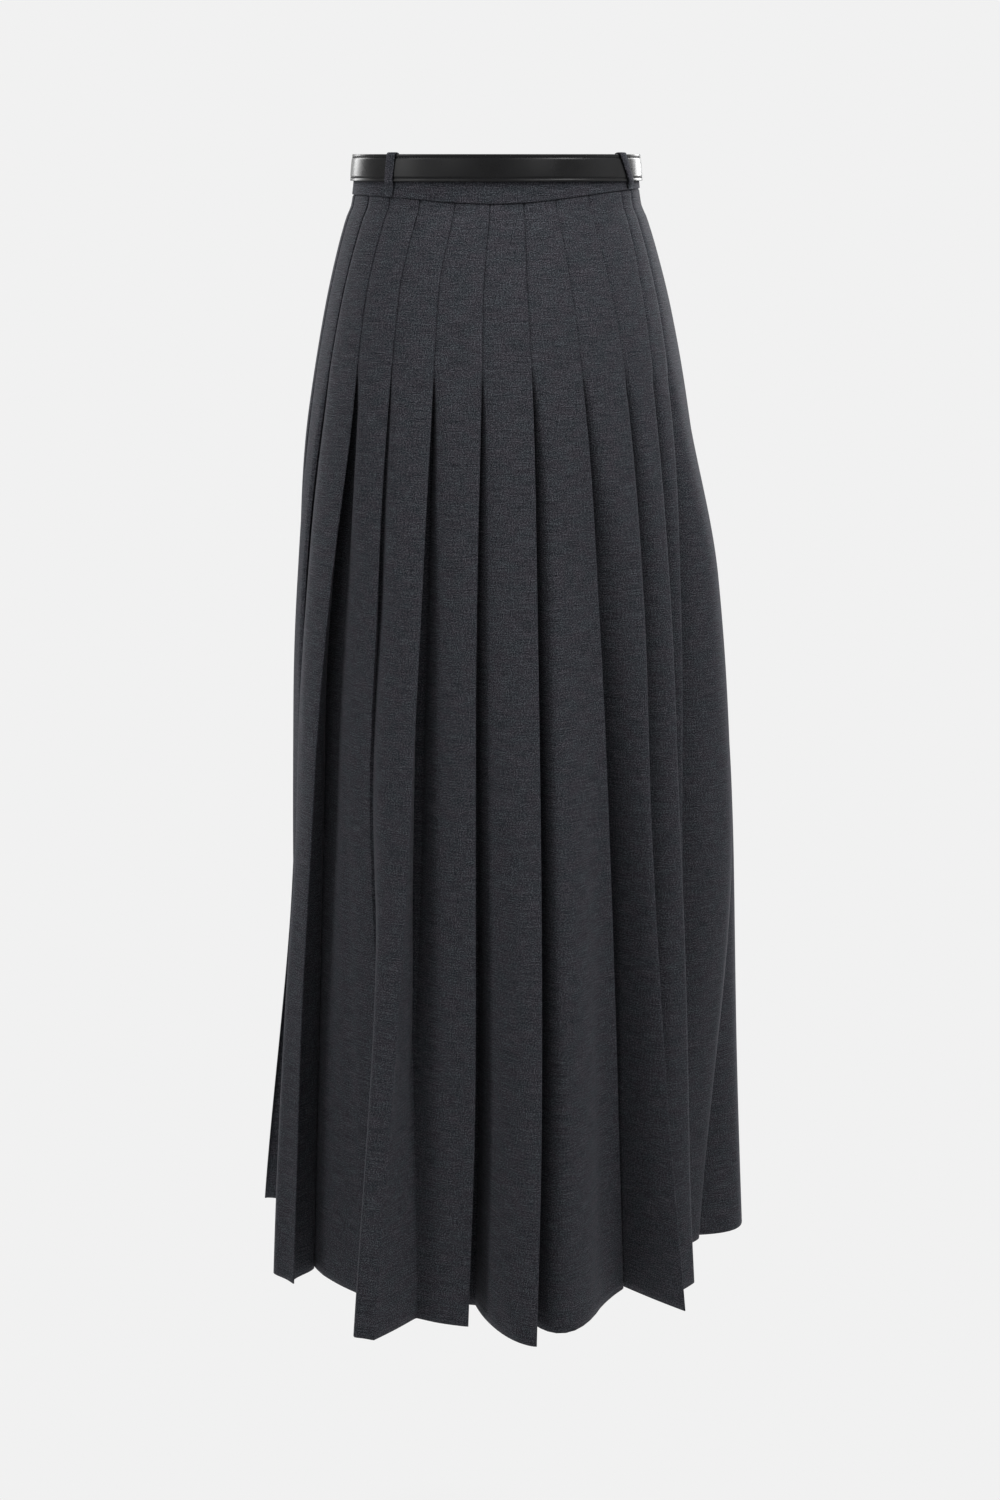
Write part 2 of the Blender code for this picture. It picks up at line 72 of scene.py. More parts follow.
ROLL_SHARE = 0.5         # and by at most this share of the step beside it
BELLY_SCALE = 9.48       # 1 over the peak of x(1 - x)^3, which is at a quarter
SOFT_VALLEY = 40         # rounds of smoothing where an open pleat turns back at its foot
OPEN, HALF_OPEN = 0.03, 0.5     # shares of CLOSED_LAP: all soft at one, not at the other
FOOT_SHRINK = 0.9        # share of its radius that a soft inner fold loses
TUCK = 0.0022            # the sewn top edge dips this far behind the waistband
TUCK_ENDS = 0.0010       # the dip starts to fade this far above the waistband's foot
TUCK_FADE = 0.003        # and has gone this much further down
UNDER_BAND = 0.002       # the cloth's top edge is this far above the waistband's foot
LEVEL_DOWN = 0.09        # rings are level from here down, and bend to that edge above it
TOP_DOWN, CLOSE_DOWN = 0.034, 0.06      # between these two the rings lie closer
TOP_RINGS, RINGS = 8, 130               # rings of points there, and in all
PANEL_PLEATS = 6
WEAVE_STEP = 0.37        # each pleat's weave starts this far along the cloth from the last

# Waistband and belt
FRONT_DIP = 0.0055       # the waist is cut this much lower at the centre front
FRONT_SPREAD = (radians(100), radians(160))    # round the body from the back
FRONT_FADE = (0.05, 0.17)                      # and gone by here, going down
BAND_WALL = 0.0020
BAND_EDGE = 0.0008       # rounding of its edges
BAND_OUT = -0.0001       # middle of the waistband's wall, from the oval
BAND_SIDE_DEPTH = 0.0298
BAND_BACK_DIP = 0.0085   # the band is deeper at the centre back
BAND_DEEPEST = -0.1      # turn where it is deepest
BAND_SPREAD = 0.44       # square of the turn over which that fades, as a bell curve
BAND_TILT = 0.0025       # and deeper at the left side than at the right
BAND_LAP = 0.034         # underlap at the left side opening
BAND_JOGGLE = 0.010      # room for the band to step inwards before its underlap
JOGGLE_FALL = 0.75       # share of that room which the step takes up
OPENING_DOWN = 0.05      # its ends meet in line with the first seam at this height
BAND_POINTS = 420
SEAM = 0.0003
BELT_WIDTH = 0.0218
BELT_THICK = 0.0026
BELT_TOP = -0.0008       # the belt stands this much above the waistband
BELT_END = 0.080         # free end past the buckle
BELT_START = 0.0035      # the strap begins this far past the buckle's heel bar
BELT_UNDER_FRAME = 0.006 # it is still on the band this far past the frame's far bar
BELT_RISEN = 0.008       # and lies over its own start this far before the heel bar
NOSE_LENGTH = 0.012      # rounded tip of the free end
NOSE_NARROW = 0.42       # part of the width that a quarter ellipse would take off each edge
NOSE_ARC = 0.92          # square of the share of that quarter's length which the tip is
STRAP_POINTS = 380
EDGE_ROUND = 0.0004      # rounding of the belt's painted edges
CREASE_IN = 0.0026       # the stitched crease lies this far in from each edge
CREASE_DEEP = 0.00055
CREASE_WIDE = 0.00075
BELT_CROWN = 0.00026     # the strap's middle stands this much proud of its edges
STITCH_START, STITCH_STOP = 0.004, 0.006    # from the strap's start, and before its tip
STITCH_PITCH = 0.0025
STITCH_HALF = 0.00085    # half the length of one
STITCH_THICK = 0.00030   # its radius
STITCH_SUNK = 0.00022    # its middle lies this far in from the strap's face
LOOP_WIDTH = 0.0078
LOOP_WALL = 0.0012
LOOP_BACK = 0.0036       # it is back on the band this far below the belt,
LOOP_FLAT = 0.0030       # or this far above the band's foot, if that is higher
LOOP_END = 0.0006        # and ends this far above it
LOOPS = (("belt_loop_back_left", -53.0, -54.0), ("belt_loop_back_right", 51.0, 58.0),
         ("belt_loop_front_right", 127.0, 129.0),
         ("belt_loop_front_left", -127.0, -129.0))     # turn of its top and its foot
BUCKLE_LENGTH = 0.033
BUCKLE_BAR = 0.0013      # radius of the frame's bar
BUCKLE_ROOM = 0.0006     # between the frame and the strap's edge, and under the prong
BUCKLE_SQUARED = 0.38    # below 1 makes an ellipse a rectangle with rounded corners
FRAME_POINTS, BAR_CORNERS = 120, 16
PRONG_RADIUS = 0.0011
KEEPER_AT = 0.028        # middle of the keeper past the buckle
KEEPER_WIDTH = 0.009
KEEPER_WALL = 0.0012

# The body's oval: down, half width, half depth, shift towards +Y
OVAL = np.array([
    (0.000, 0.1200, 0.0905,  0.000),
    (0.040, 0.1250, 0.0945,  0.000),
    (0.052, 0.1300, 0.0985, -0.001),
    (0.085, 0.1400, 0.1080, -0.004),
    (0.130, 0.1510, 0.1180, -0.008),
    (0.210, 0.1660, 0.1310, -0.012),
    (0.320, 0.1820, 0.1460, -0.014),
    (0.450, 0.1950, 0.1630, -0.016),
    (0.600, 0.2040, 0.1830, -0.018),
    (0.780, 0.2150, 0.2060, -0.021),
    (0.990, 0.2310, 0.2320, -0.025),
])

# One row for each pleat, in order round the body from the left side across the back.
HIP, THIGH, KNEE, CALF = 0.21, 0.36, 0.55, 0.78
LEVELS = (0.045, 0.11, HIP, THIGH, KNEE, CALF, LENGTH)
# Turn of its outer fold at each of LEVELS, degrees
FOLD_TURNS = np.array([
    (-87.5, -88.0, -89.5, -92.5, -99.0, -106.5, -112.5),
    (-69.0, -72.0, -74.0, -78.5, -82.0,  -80.5,  -78.0),
    (-54.4, -57.2, -56.5, -60.0, -64.9,  -68.5,  -68.0),
    (-39.1, -42.5, -42.5, -42.9, -45.1,  -43.8,  -44.0),
    (-24.3, -28.0, -28.2, -29.0, -31.4,  -34.9,  -37.3),
    (-10.9, -13.1, -13.6, -14.5, -15.4,  -16.6,  -19.2),
    (  2.0,   1.2,   1.5,   1.1,   0.5,   -0.8,   -3.1),
    ( 15.0,  16.4,  17.6,  19.2,  21.3,   25.6,   30.2),
    ( 29.9,  31.9,  33.6,  33.0,  31.5,   32.0,   33.5),
    ( 50.6,  48.0,  46.0,  44.0,  42.4,   44.2,   46.5),
    ( 59.6,  58.5,  55.5,  52.2,  49.5,   53.0,   58.0),
    ( 76.5,  76.0,  75.5,  73.8,  71.5,   71.0,   70.5),
    ( 92.5,  92.5,  92.5,  91.0,  88.0,   86.0,   84.0),
    (109.5, 110.0, 109.5, 107.5, 105.0,  103.0,  101.0),
    (126.5, 126.0, 125.5, 125.5, 124.0,  122.0,  121.0),
    (141.0, 141.5, 141.5, 140.5, 140.0,  138.5,  137.0),
    (155.0, 154.5, 154.5, 155.5, 155.0,  154.5,  154.0),
    (169.0, 169.5, 169.5, 169.0, 169.0,  168.5,  168.0),
    (182.0, 181.5, 182.0, 182.0, 181.0,  180.0,  179.0),
    (195.5, 196.0, 195.5, 194.0, 193.0,  192.0,  191.0),
    (209.0, 208.5, 207.5, 206.5, 205.0,  203.5,  202.0),
    (223.0, 223.5, 222.5, 220.0, 218.0,  215.5,  213.0),
    (238.5, 237.5, 236.0, 234.0, 231.0,  227.5,  225.0),
    (255.0, 254.0, 253.0, 250.5, 247.0,  242.5,  238.0),
])
# Its form, in millimetres but for the bows:
#   out     of its outer fold from the oval, at the thigh, knee and hem
#   drop    step in from the previous fold to its face, at the same three levels
#   lap     reach of its inner fold under the previous face at the knee and hem, and below
#           0 where it hangs open
#   bow     1 for a straight face, and more where it swells at its start, at the knee and hem
#   belly   how far the hanging face swells near its start at the hem
#   roll    how far the face turns in at its own fold where it hangs open
FOLD_FORMS = np.array([
    # out          drop          lap      bow     belly roll
    (-8, -14,   8, 13,  20,  36, 16,  24, 2.2, 1.2,  0, 0.8),
    (-5, -16, -45,  7,  10,  32,  8,   4,   3, 1.4,  8, 1.6),
    (-1,  -3,  -6,  5,   6,   8, 10,   6, 2.2,  12,  8, 0.4),
    (-5, -12, -45, 20,  26,  31, 34,  33, 1.1,   1,  0, 0.2),
    ( 1,   2,  15,  7, 2.5, 1.5, -2,   0, 2.2,  12,  4, 0.6),
    (-4, -10, -33, 21,  32,  50, 12, -17, 2.2, 1.3,  0, 0.2),
    ( 0,   0,   0, 13,  20,  38, 16,  24, 2.2, 1.4,  0, 0.2),
    (-8, -18, -62, 20,  30,  43, 14,  17, 3.6,   1, 30, 0.5),
    ( 0,   0,   5, 19,  26,  22, -7,   5, 1.2,   1,  0, 2.4),
    ( 0,   0, -20, 27,  38,  34,  9,   2, 1.9, 1.9,  0, 2.4),
    (-5, -12, -50, 27,  38,  34, 13,  16, 1.9, 1.9,  0, 2.4),
    (10,  11, -41, 20,  28,  18, 10,   6, 2.4, 1.4,  0, 1.2),
    ( 5,  12,   0,  6,   9,  14, 10,   6, 2.2,   4,  0, 0.8),
    (-2,  -4, -30, 14,  22,  38, 15,  22, 2.2, 1.3,  0, 0.4),
    ( 0,   0,   8,  6,   8,  10, 11,   8, 2.2,   6,  0, 0.6),
    (-4,  -8, -36, 18,  28,  44,  4, -16, 2.2, 1.1,  0, 0.3),
    ( 0,   0,  -4, 12,  18,  30, 14,  20, 2.2, 1.4,  0, 0.4),
    (-5, -12, -46, 13,  20,  32, 14,  20, 2.2,   1, 14, 0.6),
    ( 0,   0,   6,  6,   8,  10, 11,   8, 2.2,   6,  0, 0.4),
    (-2,  -4, -14, 14,  22,  38, 14,  20, 2.2, 1.3,  0, 0.3),
    (-4, -10, -40, 12,  18,  28,  6,  -8, 2.2, 1.2,  6, 0.5),
    ( 0,   0,   4,  6,   8,  10, 11,   8, 2.2,   6,  0, 0.4),
    (-3,  -6, -24, 16,  24,  40, 14,  20, 2.2, 1.4,  0, 0.8),
    (-4,  -6, -10, 12,  18,  30, 14,  20, 2.2, 1.3,  0, 0.6),
])
BOW_LEVELS = (SEWN_DOWN, 0.25, THIGH, KNEE, LENGTH)
PRESSED_BOW = (14.0, 6.0)       # at the first two of those: flatter where it is pressed
THIGH_BOW = 1.3                 # the thigh's bow, as a multiple of the knee's
OPENED = 0.38                   # share of the thigh's drop already there at the hip
# name, first pleat, and the cut laid flat: width at the hem, length, area
PANELS = (("skirt_back_left", 1, 0.78, 0.97, 0.526), ("skirt_back_right", 7, 0.67, 0.97, 0.522),
          ("skirt_front_right", 13, 0.72, 0.97, 0.49), ("skirt_front_left", 19, 0.64, 0.97, 0.456))
# Columns of points across a pleat's outer fold, return, inner fold and shown face
NOSE_COLUMNS, RETURN_COLUMNS, FOOT_COLUMNS, FACE_COLUMNS = 5, 10, 6, 20
HIDDEN_COLUMNS = (0.0, 0.4, 0.75)  # and its face's hidden start, as shares of the way
SOFT_COLUMNS = (8, 14, 24, 32)     # the soft valley fades in and out over these columns
# The column of a seam, in the middle of an inner fold
BEFORE_SEAM = NOSE_COLUMNS + RETURN_COLUMNS + FOOT_COLUMNS // 2
MEAN_RADIUS = 0.2        # of the skirt, to turn an angle into a width


# ---- The garment's own shape

def curve_through(x, xs, ys):
    """Height of a smooth curve through the points xs, ys that never overshoots them.

    Cubic Hermite pieces whose slopes are the harmonic means of the steps beside them. The
    curve's points are along ys's last axis, and x is one row of places.
    """
    xs, ys = np.asarray(xs, float), np.asarray(ys, float)
    step = np.diff(xs)
    slope = np.diff(ys, axis=-1) / step
    before, after = slope[..., :-1], slope[..., 1:]
    same_way = before * after > 0
    inner = np.where(same_way, 2 * before * after / np.where(same_way, before + after, 1), 0)
    tangent = np.concatenate([slope[..., :1], inner, slope[..., -1:]], axis=-1)
    x = np.clip(x, xs[0], xs[-1])
    i = np.clip(np.searchsorted(xs, x) - 1, 0, len(step) - 1)
    t = (x - xs[i]) / step[i]
    rise = ys[..., i] * (1 + 2 * t) * (1 - t) ** 2 + ys[..., i + 1] * t * t * (3 - 2 * t)
    bend = tangent[..., i] * t * (1 - t) ** 2 - tangent[..., i + 1] * t * t * (1 - t)
    return rise + step[i] * bend


def oval(down):
    """Half width, half depth and shift towards +Y of the body's oval, through OVAL's rows."""
    down = np.asarray(down, float)
    return [curve_through(down.ravel(), OVAL[:, 0], OVAL[:, column]).reshape(down.shape)
            for column in (1, 2, 3)]


def smooth_step(x, low, high):
    """0 below low, 1 above high, and 3 t^2 - 2 t^3 of the way t between them."""
    t = np.clip((x - low) / (high - low), 0, 1)
    return t * t * (3 - 2 * t)


def front_share(turn):
    """0 round the back and sides, and a smooth step to 1 at the centre front."""
    from_back = np.abs((turn + pi) % (2 * pi) - pi)
    return smooth_step(from_back, *FRONT_SPREAD)


def place(turn, out, down):
    """World points: the oval's point (a sin, -b cos) at that turn, then out square to it."""
    turn, out, down = np.broadcast_arrays(turn, out, down)
    a, b, shift = oval(down)
    across, along = b * np.sin(turn), -a * np.cos(turn)
    size = np.hypot(across, along)
    x = a * np.sin(turn) + out * across / size
    y = shift - b * np.cos(turn) + out * along / size
    z = -down - FRONT_DIP * front_share(turn) * (1 - smooth_step(down, *FRONT_FADE))
    return np.stack([x, y, z], axis=-1)


def band_depth(turn):
    """Depth of the waistband: a bell curve at the centre back, and a sine from side to side."""
    from_back = (np.asarray(turn) + pi) % (2 * pi) - pi
    dip = BAND_BACK_DIP * np.exp(-(from_back - BAND_DEEPEST) ** 2 / BAND_SPREAD)
    return BAND_SIDE_DEPTH + dip - BAND_TILT * np.sin(turn)


def fold(number, down):
    """One pleat there: its outer fold's turn and out, then its drop, lap, bow, belly and roll."""
    lap_round, index = divmod(number, PLEATS)
    outs, drops, laps, (knee_bow, hem_bow), (belly, roll) = np.split(
        FOLD_FORMS[index], (3, 6, 8, 10))
    turn = curve_through(down, LEVELS, np.radians(FOLD_TURNS[index])) + 2 * pi * lap_round
    out = curve_through(down, (0, HIP, THIGH, KNEE, LENGTH), (0, 0, *outs)) / 1000
    pressed = 2000 * LAYER
    drops = (pressed, pressed + OPENED * drops[0], *drops)
    drop = curve_through(down, (SEWN_DOWN, HIP, THIGH, KNEE, LENGTH), drops) / 1000
    lap = curve_through(down, (SEWN_DOWN, KNEE, LENGTH), (1000 * PRESSED_LAP, *laps)) / 1000
    bows = (*PRESSED_BOW, THIGH_BOW * knee_bow, knee_bow, hem_bow)
    bow = curve_through(down, BOW_LEVELS, bows)
    belly = belly / 1000 * smooth_step(down, SEWN_DOWN, CALF)
    return turn, out, drop, lap, bow, belly, roll / 1000


def round_scale(turn, out, down):
    """Distance for one radian of turn there: the oval's own speed, more further out."""
    a, b = oval(down)[:2]
    speed = np.hypot(a * np.cos(turn), b * np.sin(turn))
    return speed + out * a * b / speed ** 2


def face(number, down):
    """Turn and out across one pleat's hidden start and its face, rings by columns.

    The hidden start is level, from the inner fold to the mouth. From there the face rises to
    its own fold, most steeply at its start: the part of the rise that is left is the part of
    the way that is left to the power of its bow. A belly is added, greatest a quarter of the
    way across, and the last few millimetres turn in by the roll, as a parabola.
    """
    before, before_out = fold(number - 1, down)[:2]
    turn, out, drop, lap, bow, belly, roll = fold(number, down)
    scale = round_scale(before, before_out, down)
    mouth_out = before_out - drop
    room = LAP_ROOM * (before - fold(number - 2, down)[0])
    inner = before - np.minimum(lap / scale, room)
    mouth = before + np.minimum(MOUTH / scale, MOUTH_ROOM * (turn - before))
    mouth = np.maximum(mouth, inner + MOUTH / scale)
    end = 1 - LAYER / 2 / (scale * (turn - before))
    across = end[:, None] * (0.5 - 0.5 * np.cos(pi * np.linspace(0, 1, FACE_COLUMNS)))
    height = 1 - (1 - across / end[:, None]) ** bow[:, None]
    hidden = inner[:, None] + (mouth - inner)[:, None] * np.array(HIDDEN_COLUMNS)
    shown = mouth[:, None] + (turn - mouth)[:, None] * across
    turns = np.concatenate([hidden, shown], axis=1)
    swell = belly[:, None] * BELLY_SCALE * across * (1 - across) ** 3
    left = (1 - across / end[:, None]) * ((turn - mouth) * scale)[:, None]
    roll = np.minimum(roll, ROLL_SHARE * (fold(number + 1, down)[2] - LAYER))
    turned_in = roll[:, None] * np.clip(1 - left / ROLL_REACH, 0, 1) ** 2
    outs = mouth_out[:, None] + (out - mouth_out)[:, None] * height + swell - turned_in
    outs = np.concatenate([mouth_out[:, None] + 0 * hidden, outs], axis=1)
    return turns, outs


def fold_direction(turns, outs, scale):
    """Unit vectors onward along a face at its own fold, and outwards, square to that."""
    onward = np.stack([(turns[:, -1] - turns[:, -5]) * scale[:, 0], outs[:, -1] - outs[:, -5]], 1)
    onward /= np.linalg.norm(onward, axis=1, keepdims=True)
    return onward, np.stack([-onward[:, 1], onward[:, 0]], 1)


def soft_valley(turns, outs, softness):
    """Draw out the inner fold of an open pleat to a soft valley, in place.

    Each column near it moves, round after round, half way to the middle between its
    neighbours, or less where the softness is below 1.
    """
    column = np.arange(turns.shape[1])
    first, full, last, gone = SOFT_COLUMNS
    near = smooth_step(column, first, full) * (1 - smooth_step(column, last, gone))
    near = 0.5 * near * softness
    for _ in range(SOFT_VALLEY):
        for line in (turns, outs):
            between = 0.5 * (line[:, :-2] + line[:, 2:])
            line[:, 1:-1] += near[:, 1:-1] * (between - line[:, 1:-1])


def pleat(number, down):
    """Turn and out of one pleat at each height: outer fold, return, inner fold, face.

    Both folds are half circles one layer across. The return between them is a cubic Hermite
    curve that leaves each in its own direction. Where the pleat hangs open, the return is
    straight, the outer fold turns only as far as the return's own slope, and the inner fold
    shrinks and is drawn out to a soft valley. Distances here are along the body from the
    outer fold, and outwards.
    """
    turns, outs = face(number, down)
    last_turns, last_outs = face(number - 1, down)
    edge, edge_out = last_turns[:, -1], last_outs[:, -1]
    scale = round_scale(edge, edge_out, down)[:, None]
    onward, upward = fold_direction(last_turns, last_outs, scale)
    level, rise = np.array((1.0, 0.0)), np.array((0.0, 1.0))
    top = np.stack([np.zeros_like(edge), edge_out], 1)
    bottom = np.stack([(turns[:, 0] - edge) * scale[:, 0], outs[:, 0]], 1)
    closed = np.clip((edge - turns[:, 0])[:, None] * scale / CLOSED_LAP, OPEN, 1)[..., None]
    softness = 1 - smooth_step(closed[:, 0], OPEN, HALF_OPEN)

    radius = LAYER / 2
    way = bottom - top
    slope = np.arctan2(-np.sum(way * upward, 1), np.sum(way * onward, 1))[:, None]
    bend = pi + (slope - pi) * softness
    angle = bend[..., None] * np.arange(1, NOSE_COLUMNS + 2)[:, None] / (NOSE_COLUMNS + 1)
    nose = np.cos(angle) * upward[:, None] + np.sin(angle) * onward[:, None]
    nose = (top - radius * upward)[:, None] + radius * nose
    nose, start = nose[:, :-1], nose[:, -1]

    foot_radius = radius * (1 - FOOT_SHRINK * softness)
    end = bottom + 2 * foot_radius * rise
    reach = np.linalg.norm(end - start, axis=1)[:, None, None] * closed
    t = np.linspace(0, 1, RETURN_COLUMNS)[:, None]
    under = (start[:, None] * (1 + 2 * t) * (1 - t) ** 2 + end[:, None] * t * t * (3 - 2 * t)
             - reach * onward[:, None] * t * (1 - t) ** 2 + reach * level * t * t * (1 - t))
    angle = pi * np.arange(1, FOOT_COLUMNS + 1)[:, None] / (FOOT_COLUMNS + 1)
    foot = foot_radius[..., None] * ((1 + np.cos(angle)) * rise - np.sin(angle) * level)
    foot = bottom[:, None] + foot

    hidden = np.concatenate([nose, under, foot], axis=1)
    turns = np.concatenate([edge[:, None] + hidden[..., 0] / scale, turns], axis=1)
    outs = np.concatenate([hidden[..., 1], outs], axis=1)
    soft_valley(turns, outs, softness)
    return turns, outs


# Soft troughs (below 0) and ridges in the hanging cloth: turn in degrees, down and half
# length in cm, half width and depth in mm, and how far it leans onward over 1 m, in degrees
CREASES = np.array([
    ( -93, 62, 16,  9,  1.2,  4), ( -74, 47, 10,  7, -1.0,  6),
    ( -71, 83, 14, 11,  1.4, -4), ( -56, 72, 17,  8, -1.5,  2),
    ( -52, 90,  9, 10,  1.3,  6), ( -47, 55, 10,  6, -0.8, -3),
    ( -26, 80, 15, 10,  1.5, -6), ( -22, 50,  8,  7, -0.8,  4),
    (  -9, 66, 13,  9, -1.0,  3), (  -8, 92, 10, 12,  1.4, -5),
    (   9, 45,  9,  8, -0.9,  8), (  13, 76, 15, 10,  1.6,  4),
    (  18, 93,  8,  9, -1.4,  0), (  26, 56, 12,  8, -1.5, -7),
    (  37, 78, 17,  8,  1.2,  2), (  44, 91,  8, 10, -1.2,  5),
    (  62, 44,  8,  9,  1.0, -6), (  64, 81, 18, 12, -1.6,  4),
    (  78, 60, 12, 10,  1.3,  3), (  92, 88, 11,  9, -1.3, -4),
    ( 101, 49, 12,  8, -1.1,  5), ( 112, 74, 16, 12,  1.6, -3),
    ( 128, 58,  9,  8, -0.9,  2), ( 133, 86, 14, 10, -1.5,  6),
    ( 148, 67, 17,  9,  1.3, -5), ( 158, 47,  8,  7, -0.9,  3),
    ( 163, 90, 12, 12,  1.6,  2), ( 176, 63, 13,  8, -1.2, -4),
    ( 189, 80, 18, 10,  1.5,  5), ( 201, 52, 10,  8, -1.0,  3),
    ( 207, 91,  9, 11, -1.4, -2), ( 219, 70, 14,  9,  1.2,  4),
    ( 229, 45,  7,  8, -0.8, -6), ( 234, 85, 15, 12,  1.6, -3),
    ( 246, 60, 11,  8, -1.2,  5), ( 257, 79, 17, 10, -1.4,  2),
])


def creases(turn, down):
    """How far the soft creases push the cloth out there.

    Each is a bell curve across its width times a bell curve along its length.
    """
    total = np.zeros_like(turn)
    for middle, level, long, wide, deep, lean in CREASES:
        below = down - level / 100
        along = below / (long / 100)
        off = turn - radians(middle) - radians(lean) * below
        off = (off + pi) % (2 * pi) - pi
        across = off * MEAN_RADIUS / (wide / 1000)
        total += deep / 1000 * np.exp(-across ** 2 - along ** 2)
    return total


def panel_grid(first):
    """A panel's points, their distances along the cloth and down, and a pleat's columns.

    The points are rings by columns, from the middle of the first pleat's inner fold.
    """
    down = np.concatenate([np.linspace(TOP_DOWN, CLOSE_DOWN, TOP_RINGS)[:-1],
                           np.linspace(CLOSE_DOWN, LENGTH, RINGS - TOP_RINGS + 1)])
    blocks = [pleat(n, down) for n in range(first, first + PANEL_PLEATS + 1)]
    width = blocks[0][0].shape[1]
    seam_to_seam = slice(BEFORE_SEAM, BEFORE_SEAM + PANEL_PLEATS * width)
    turns, outs = (np.concatenate(part, axis=1)[:, seam_to_seam] for part in zip(*blocks))
    top = band_depth(turns) - UNDER_BAND
    high = np.clip((LEVEL_DOWN - down[:, None]) / (LEVEL_DOWN - down[0]), 0, 1)
    downs = down[:, None] + (top - down[0]) * high ** 2 * (3 - 2 * high)
    below_band = np.clip((downs - band_depth(turns) + TUCK_ENDS) / TUCK_FADE, 0, 1)
    outs = outs - TUCK * (1 - below_band) ** 2 + creases(turns, downs)
    points = place(turns, outs, downs)
    along = np.concatenate([np.zeros((len(down), 1)),
                            np.cumsum(np.linalg.norm(np.diff(points, axis=1), axis=2), axis=1)], 1)
    return points, along, downs, width


# ---- Meshes

def grid_faces(rows, columns, round_rows=False, round_columns=False):
    """Quads of a grid of points, joined to its start along either way if asked."""
    r = np.arange(rows if round_rows else rows - 1)
    c = np.arange(columns if round_columns else columns - 1)
    r, c = np.meshgrid(r, c, indexing="ij")
    r_next, c_next = (r + 1) % rows, (c + 1) % columns
    quads = [r * columns + c, r * columns + c_next, r_next * columns + c_next, r_next * columns + c]
    return np.stack(quads, axis=-1).reshape(-1, 4)


def end_caps(rows, columns):
    """The first and last row of such a grid, each as one face."""
    return [tuple(range(columns)), tuple(reversed(range((rows - 1) * columns, rows * columns)))]


def signed_volume(points, faces):
    """Volume inside a closed mesh of quads, negative if it is inside out."""
    a, b, c, d = (points[faces[:, k]] for k in range(4))
    return (np.sum(a * np.cross(b, c)) + np.sum(a * np.cross(c, d))) / 6


def make_piece(name, points, faces, finish, nodes, uv=None, ends=()):
    """A named smooth piece that rides on the garment and stands for its solids.

    Cloth coordinates are given for each point of a closed piece, or for each corner of each
    face of an open sheet, whose faces already point outwards.
    """
    points = np.asarray(points, float).reshape(-1, 3)
    faces = np.asarray(faces)
    closed = uv is None or len(uv) == len(points)
    if closed and signed_volume(points, faces) < 0:
        faces = faces[:, ::-1]
        ends = [tuple(reversed(end)) for end in ends]
    mesh = bpy.data.meshes.new(name)
    mesh.from_pydata(points.tolist(), [], faces.tolist() + [list(end) for end in ends])
    mesh.materials.append(finish)
    mesh.shade_smooth()
    if uv is not None:
        if closed:
            corners = np.empty(len(mesh.loops), np.int32)
            mesh.loops.foreach_get("vertex_index", corners)
            uv = uv[corners]
        layer = mesh.uv_layers.new(name="cloth")
        layer.data.foreach_set("uv", np.asarray(uv, float).ravel())
    piece = bpy.data.objects.new(name, mesh)
    bpy.context.scene.collection.objects.link(piece)
    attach(piece, "root")
    if nodes:
        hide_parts(*nodes)
    return piece


def cloth_panel(name, first, flat_width, flat_length, flat_area, finish):
    """Six pleats of cloth as one thin sheet, given its thickness by Solidify.

    Its cloth coordinates are metres along the cloth from each pleat's outer fold, and metres
    down, so that the grain runs along the folds.
    """
    points, along, downs, width = panel_grid(first)
    rows, columns = points.shape[:2]
    block = (np.arange(columns - 1) + BEFORE_SEAM) // width
    edge = np.minimum((block + 1) * width - 1 - BEFORE_SEAM, columns - 1)
    left = along[:, :-1] - along[:, edge] + WEAVE_STEP * (block + first)
    right = left + np.diff(along, axis=1)
    u = np.stack([left[:-1], right[:-1], right[1:], left[1:]], axis=-1)
    v = np.stack([downs[:-1, :-1], downs[:-1, 1:], downs[1:, 1:], downs[1:, :-1]], axis=-1)
    panel = make_piece(name + "_cloth", points, grid_faces(rows, columns), finish, [name],
                       uv=np.stack([u, v], axis=-1))
    solidify = panel.modifiers.new("wall", "SOLIDIFY")
    solidify.thickness = WALL
    solidify.offset = 0
    solidify.use_even_offset = True
    return panel


def strip_coordinates(line, downs):
    """Cloth coordinates of a strip's points: metres along its line, and metres down."""
    along = np.concatenate([[0], np.cumsum(np.linalg.norm(np.diff(line, axis=0), axis=1))])
    return np.stack([along[:, None] + 0 * downs, downs], axis=-1).reshape(-1, 2)


def swept(name, turns, outs, profile, top, foot, finish, nodes):
    """A strip standing on edge round the body, its section carried along turns and outs.

    The profile's rows are: place across the wall, share of the height from top to foot, and
    a small distance further down.
    """
    across, share, extra = np.array(profile).T
    top, foot = np.broadcast_to(top, turns.shape)[:, None], np.broadcast_to(foot, turns.shape)[:, None]
    downs = top + (foot - top) * share + extra
    points = place(turns[:, None], outs[:, None] + across, downs)
    return make_piece(name, points, grid_faces(*points.shape[:2], round_columns=True), finish,
                      nodes, uv=strip_coordinates(points[:, 0], downs - across),
                      ends=end_caps(*points.shape[:2]))


